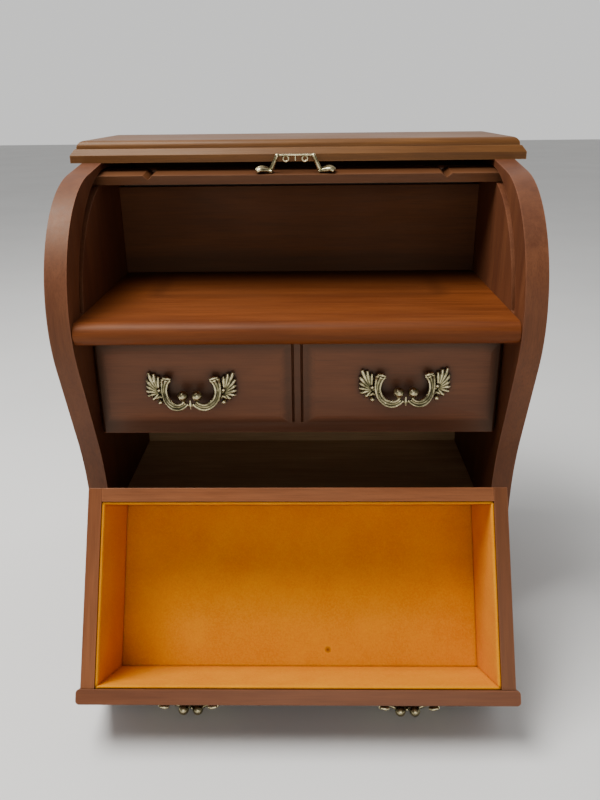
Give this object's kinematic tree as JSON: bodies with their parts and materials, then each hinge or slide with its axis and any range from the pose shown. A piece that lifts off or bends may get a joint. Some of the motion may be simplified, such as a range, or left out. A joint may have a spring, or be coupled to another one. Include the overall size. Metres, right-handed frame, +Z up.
{
  "type": "roll-top jewelry box",
  "caption": "Wooden roll-top desk jewelry box: rolling tambour over a shelf, felt-lined drawers with cast leaf pulls, one drawer out and leaning at the front.",
  "frame": {"origin": "On the underside of the base felt, on the centre line of the width, 80.5 mm behind the front of the side panels' bulge", "axes": "+X to the right seen from the front, +Y to the back, +Z up"},
  "size_m": [0.2628, 0.2488, 0.2922],
  "materials": {
    "case_wood": "satin reddish-brown stain",
    "top_wood": "satin reddish-brown stain, lighter in the light",
    "shelf_wood": "satin orange-brown stain",
    "front_wood": "satin reddish-brown stain",
    "tambour_wood": "satin reddish-brown stain",
    "drawer_wood": "satin stain",
    "panel_wood": "satin dark stain",
    "plain_wood": "bare",
    "lining_felt": "orange-yellow felt card",
    "base_felt": "green felt",
    "backing_cloth": "plain woven cotton",
    "antique_brass": "cast, dark antique with rubbed highlights",
    "steel": "plain"
  },
  "bodies": {
    "cabinet": {"side_left": "case_wood", "side_right": "case_wood", "top_board": "top_wood", "shelf": "shelf_wood", "inner_back": "panel_wood", "back_panel": "panel_wood", "rear_partition": "panel_wood", "divider_upper": "panel_wood", "divider_lower": "panel_wood", "drawer_runners": "plain_wood", "base_board": "case_wood", "base_felt": "base_felt", "top_dowels": "plain_wood", "base_screws": "steel"},
    "tambour": {"lead_rail": "shelf_wood", "tambour_cloth": "backing_cloth", "tambour_pull": "antique_brass", "tambour_pull_pins": "steel", "slat_01": "tambour_wood", "slat_02": "tambour_wood", "slat_03": "tambour_wood", "slat_04": "tambour_wood", "slat_05": "tambour_wood", "slat_06": "tambour_wood", "slat_07": "tambour_wood", "slat_08": "tambour_wood", "slat_09": "tambour_wood", "slat_10": "tambour_wood"},
    "upper_drawer": {"upper_drawer_front": "front_wood", "upper_drawer_left_wall": "drawer_wood", "upper_drawer_right_wall": "drawer_wood", "upper_drawer_back_wall": "drawer_wood", "upper_drawer_bottom": "plain_wood", "upper_drawer_floor_felt": "lining_felt", "upper_drawer_wall_felt": "lining_felt", "upper_drawer_left_pull": "antique_brass", "upper_drawer_right_pull": "antique_brass", "upper_drawer_pull_pins": "steel"},
    "middle_drawer": {"middle_drawer_front": "front_wood", "middle_drawer_left_wall": "drawer_wood", "middle_drawer_right_wall": "drawer_wood", "middle_drawer_back_wall": "drawer_wood", "middle_drawer_bottom": "plain_wood", "middle_drawer_floor_felt": "lining_felt", "middle_drawer_wall_felt": "lining_felt", "middle_drawer_left_pull": "antique_brass", "middle_drawer_right_pull": "antique_brass", "middle_drawer_pull_pins": "steel"},
    "lower_drawer": {"lower_drawer_front": "front_wood", "lower_drawer_left_wall": "drawer_wood", "lower_drawer_right_wall": "drawer_wood", "lower_drawer_back_wall": "drawer_wood", "lower_drawer_bottom": "plain_wood", "lower_drawer_floor_felt": "lining_felt", "lower_drawer_wall_felt": "lining_felt", "lower_drawer_left_pull": "antique_brass", "lower_drawer_right_pull": "antique_brass", "lower_drawer_pull_pins": "steel"}
  },
  "joints": [
    {"name": "tambour_roll", "type": "hinge", "parent": "cabinet", "child": "tambour", "pos_m": [0, 0.0188, 0.1945], "axis": [1, 0, 0], "range_deg": [0, 64.4]},
    {"name": "upper_drawer_slide", "type": "slide", "parent": "cabinet", "child": "upper_drawer", "axis": [0, -1, 0], "range_m": [0, 0.085]},
    {"name": "lower_drawer_slide", "type": "slide", "parent": "cabinet", "child": "lower_drawer", "axis": [0, -1, 0], "range_m": [0, 0.085]},
    {"name": "middle_drawer_push", "type": "slide", "parent": "cabinet", "child": "middle_drawer", "axis": [0, -1, 0], "range_m": [0, 0.085]}
  ],
  "couplings": [
    {"joint": "middle_drawer_push", "follows": "lower_drawer_slide", "ratio": 1}
  ]
}
